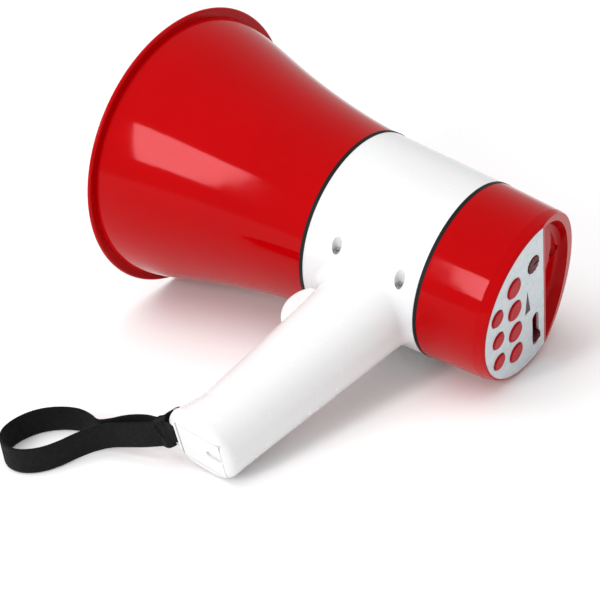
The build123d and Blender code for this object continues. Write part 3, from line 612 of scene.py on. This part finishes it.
def make_panel():
    """Silver-grey film with a fine sparkle of blue, green and pink in it."""
    paint = Paint("panel_silver", Metallic=0.25, IOR=1.45)
    flake = paint.cells(1000.0)
    cell_value = paint.add("ShaderNodeSeparateColor", Color=flake.outputs["Color"]).outputs["Red"]
    tint = paint.ramp(
        cell_value,
        (0.0, (0.40, 0.50, 0.62)), (0.3, (0.60, 0.70, 0.70)), (0.55, (0.50, 0.66, 0.58)),
        (0.8, (0.66, 0.55, 0.66)), (1.0, (0.62, 0.66, 0.70)),
    )
    soft = paint.ramp(paint.noise(220.0, 3.0), (0.35, (0.55, 0.62, 0.64)), (0.65, (0.70, 0.72, 0.76)))
    blend = paint.add("ShaderNodeMix", {"data_type": "RGBA"}, Factor=0.6)
    paint.feed(blend.inputs[MIX_COLOUR_A], soft)
    paint.feed(blend.inputs[MIX_COLOUR_B], tint)
    paint.use("Base Color", blend.outputs[MIX_COLOUR_OUT])
    paint.use("Roughness", paint.range(paint.noise(500.0, 3.0), 0.3, 0.45))
    paint.use("Normal", paint.bump(flake.outputs["Distance"], 0.00001, 0.5))
    return paint


def make_key_red():
    """Red silicone: soft gloss, darker in patches, with light let through."""
    paint = Paint(
        "button_red", Specular_IOR_Level=0.15, Specular_Tint=(1.0, 0.5, 0.5, 1.0), Subsurface_Weight=0.25,
        Subsurface_Radius=(0.9, 0.1, 0.08), Subsurface_Scale=0.0012,
    )
    cloud = paint.noise(260.0, 3.0)
    paint.use("Base Color", paint.ramp(cloud, (0.3, (0.36, 0.001, 0.005)), (0.7, (0.46, 0.004, 0.010))))
    paint.use("Roughness", paint.range(paint.noise(700.0, 3.0), 0.28, 0.42))
    paint.use("Normal", paint.bump(paint.noise(2200.0, 2.0), 0.00001, 0.5))
    return paint


def make_copper():
    """Enamelled winding: the turns of fine wire show as ridges."""
    paint = Paint("copper_coil", Metallic=0.85, Coat_Weight=0.5, Coat_Roughness=0.15)
    bands = {"wave_type": "BANDS", "bands_direction": "X"}
    wave = paint.add("ShaderNodeTexWave", bands, Scale=700.0, Distortion=0.6)
    paint.feed(wave.inputs["Vector"], paint.coords)
    groove = (0.36, 0.12, 0.05)
    wire = (0.76, 0.34, 0.15)
    paint.use("Base Color", paint.ramp(wave.outputs["Fac"], (0.2, groove), (0.8, wire)))
    paint.use("Roughness", paint.range(paint.noise(300.0), 0.22, 0.38))
    paint.use("Normal", paint.bump(wave.outputs["Fac"], 0.00008))
    return paint


def make_spider_cloth():
    """Amber resin-treated cloth with an open weave."""
    paint = Paint("spider_cloth", Sheen_Weight=0.2)
    weave = paint.cells(1500.0, "SMOOTH_F1")
    distance = weave.outputs["Distance"]
    paint.use("Base Color", paint.ramp(distance, (0.1, (0.62, 0.44, 0.2)), (0.8, (0.34, 0.2, 0.08))))
    paint.use("Roughness", paint.range(paint.noise(400.0), 0.6, 0.8))
    paint.use("Normal", paint.bump(distance, 0.00008))
    return paint


def make_paper():
    """Pressed paper pulp: felted fibres, dark grey."""
    paint = Paint("paper_cone", Sheen_Weight=0.15)
    fibre = paint.noise(900.0, 6.0, 0.75)
    paint.use("Base Color", paint.ramp(fibre, (0.35, (0.018, 0.018, 0.02)), (0.7, (0.06, 0.06, 0.062))))
    paint.use("Roughness", paint.range(fibre, 0.75, 0.92))
    paint.use("Normal", paint.bump(fibre, 0.00008))
    return paint


def make_board():
    """Solder mask over copper tracks, which show as paler green lines."""
    paint = Paint("board_green", Coat_Weight=0.3, Coat_Roughness=0.2)
    tracks = paint.cells(160.0, "DISTANCE_TO_EDGE").outputs["Distance"]
    paint.use("Base Color", paint.ramp(tracks, (0.03, (0.05, 0.3, 0.12)), (0.09, (0.012, 0.12, 0.045))))
    paint.use("Roughness", paint.range(paint.noise(500.0), 0.28, 0.42))
    paint.use("Normal", paint.bump(tracks, 0.00002, 0.6))
    return paint


def make_lens():
    """Smoked red indicator lens."""
    paint = Paint("lens", Specular_IOR_Level=0.3, Specular_Tint=(1.0, 0.6, 0.6, 1.0))
    cloud = paint.noise(500.0, 3.0)
    paint.use("Base Color", paint.ramp(cloud, (0.3, (0.03, 0.001, 0.004)), (0.7, (0.055, 0.002, 0.006))))
    paint.use("Roughness", paint.range(paint.noise(900.0), 0.12, 0.22))
    return paint


def make_ferrite():
    """Pressed and fired magnet: dark grey, fine-grained and dull."""
    paint = Paint("ferrite", Metallic=0.3)
    grain = paint.noise(1300.0, 5.0, 0.7)
    paint.use("Base Color", paint.ramp(grain, (0.35, (0.03, 0.03, 0.032)), (0.7, (0.10, 0.10, 0.105))))
    paint.use("Roughness", paint.range(grain, 0.5, 0.7))
    paint.use("Normal", paint.bump(grain, 0.00003))
    return paint


def make_materials():
    """One material for each of the record's slots."""
    white = moulded(
        "white_gloss", (0.735, 0.735, 0.74), 0.012, (0.2, 0.3), 420.0, 0.000012,
        IOR=1.46, Subsurface_Weight=0.08, Subsurface_Scale=0.002,
    )
    paints = {
        "red_gloss": make_red(),
        "white_gloss": white,
        "black_rubber": moulded(
            "black_rubber", (0.005, 0.005, 0.005), 0.3, (0.5, 0.7), 1500.0, 0.00002,
            Specular_IOR_Level=0.25,
        ),
        "panel_silver": make_panel(),
        "button_red": make_key_red(),
        "dial_dark": moulded(
            "dial_dark", (0.085, 0.002, 0.006), 0.3, (0.3, 0.5), 1800.0, 0.00002,
            Specular_IOR_Level=0.2, Specular_Tint=(1.0, 0.7, 0.7, 1.0),
        ),
        "black_plastic": moulded(
            "black_plastic", (0.02, 0.02, 0.021), 0.2, (0.4, 0.55), 1200.0, 0.00002,
        ),
        "lens": make_lens(),
        "steel": brushed("steel", (0.62, 0.62, 0.64)),
        "spring_steel": brushed("spring_steel", (0.72, 0.72, 0.74), (0.15, 0.28)),
        "paper_cone": make_paper(),
        "spider_cloth": make_spider_cloth(),
        "copper_coil": make_copper(),
        "ferrite": make_ferrite(),
        "brass_contact": brushed("brass_contact", (0.78, 0.62, 0.32), (0.2, 0.34)),
        "board_green": make_board(),
        "aluminium": brushed("aluminium", (0.78, 0.78, 0.79), (0.3, 0.45)),
        "capacitor_sleeve": moulded(
            "capacitor_sleeve", (0.02, 0.03, 0.11), 0.15, (0.2, 0.32), 900.0, 0.00001,
        ),
        "cell_wrap": moulded("cell_wrap", (0.62, 0.74, 0.03), 0.06, (0.18, 0.3), 700.0, 0.00001),
        "webbing": make_webbing(),
    }
    return {slot: paint.material for slot, paint in paints.items()}


def dress(thing, material):
    """Give an object this material alone."""
    thing.data.materials.clear()
    thing.data.materials.append(material)


materials = make_materials()
for subpart in frame["record"]["subparts"]:
    dress(frame["nodes"][subpart["node"]], materials[subpart["material_slot"]])
for piece in (strap_loop, strap_eye, strap_patch, strap_stitches, *switch_pieces):
    dress(piece, materials[piece["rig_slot"]])


# ---- floor and light -----------------------------------------------------------------------------
FLOOR_HALF = 6.0
FLOOR_GREY = (0.955, 0.955, 0.955)
FLOOR_PALE = (0.965, 0.965, 0.965)
FLOOR_ROUGHNESS = 0.95
STRIP_CENTRE = (-0.1, -1.2, 0.71)
STRIP_TARGET = (STRIP_CENTRE[0], 0.0, STRIP_CENTRE[2])
STRIP_SIZE = (0.21, 0.70)
STRIP_RADIANCE = 18.0
OVERHEAD_CENTRE = (-0.25, -0.35, 1.5)
OVERHEAD_TARGET = (0.0, 0.0, 0.05)
OVERHEAD_SIZE = (1.5, 1.5)
OVERHEAD_RADIANCE = 1.9
WORLD_STRENGTH = 0.68


def make_floor():
    """The white table that the megaphone lies on."""
    corners = [(x * FLOOR_HALF, y * FLOOR_HALF, 0) for x, y in ((-1, -1), (1, -1), (1, 1), (-1, 1))]
    floor = mesh_object("floor", corners, [(0, 1, 2, 3)], smooth=False)
    paint = Paint("floor", Specular_IOR_Level=0.0)
    paint.use("Base Color", paint.ramp(paint.noise(1.5), (0.3, FLOOR_GREY), (0.7, FLOOR_PALE)))
    paint.use("Roughness", FLOOR_ROUGHNESS)
    dress(floor, paint.material)


def make_light(name, place, target, size, radiance):
    """A rectangular soft light at a place, facing a target, all in the row frame."""
    light = bpy.data.lights.new(name, "AREA")
    light.shape = "RECTANGLE"
    light.size, light.size_y = size
    light.energy = radiance * math.pi * size[0] * size[1]
    holder = bpy.data.objects.new(name, light)
    bpy.context.scene.collection.objects.link(holder)
    holder.location = place
    holder.rotation_euler = (Vector(target) - Vector(place)).to_track_quat("-Z", "Y").to_euler()
    return holder


def make_world(strength):
    """Even white light from all round."""
    world = bpy.data.worlds.new("studio")
    bpy.context.scene.world = world
    world.use_nodes = True
    background = world.node_tree.nodes["Background"]
    background.inputs["Color"].default_value = (1.0, 1.0, 1.0, 1.0)
    background.inputs["Strength"].default_value = strength


make_floor()
make_world(WORLD_STRENGTH)
make_light("strip", STRIP_CENTRE, STRIP_TARGET, STRIP_SIZE, STRIP_RADIANCE)
overhead = make_light("overhead", OVERHEAD_CENTRE, OVERHEAD_TARGET, OVERHEAD_SIZE, OVERHEAD_RADIANCE)
overhead.visible_glossy = False
bpy.context.scene.view_settings.view_transform = "Standard"
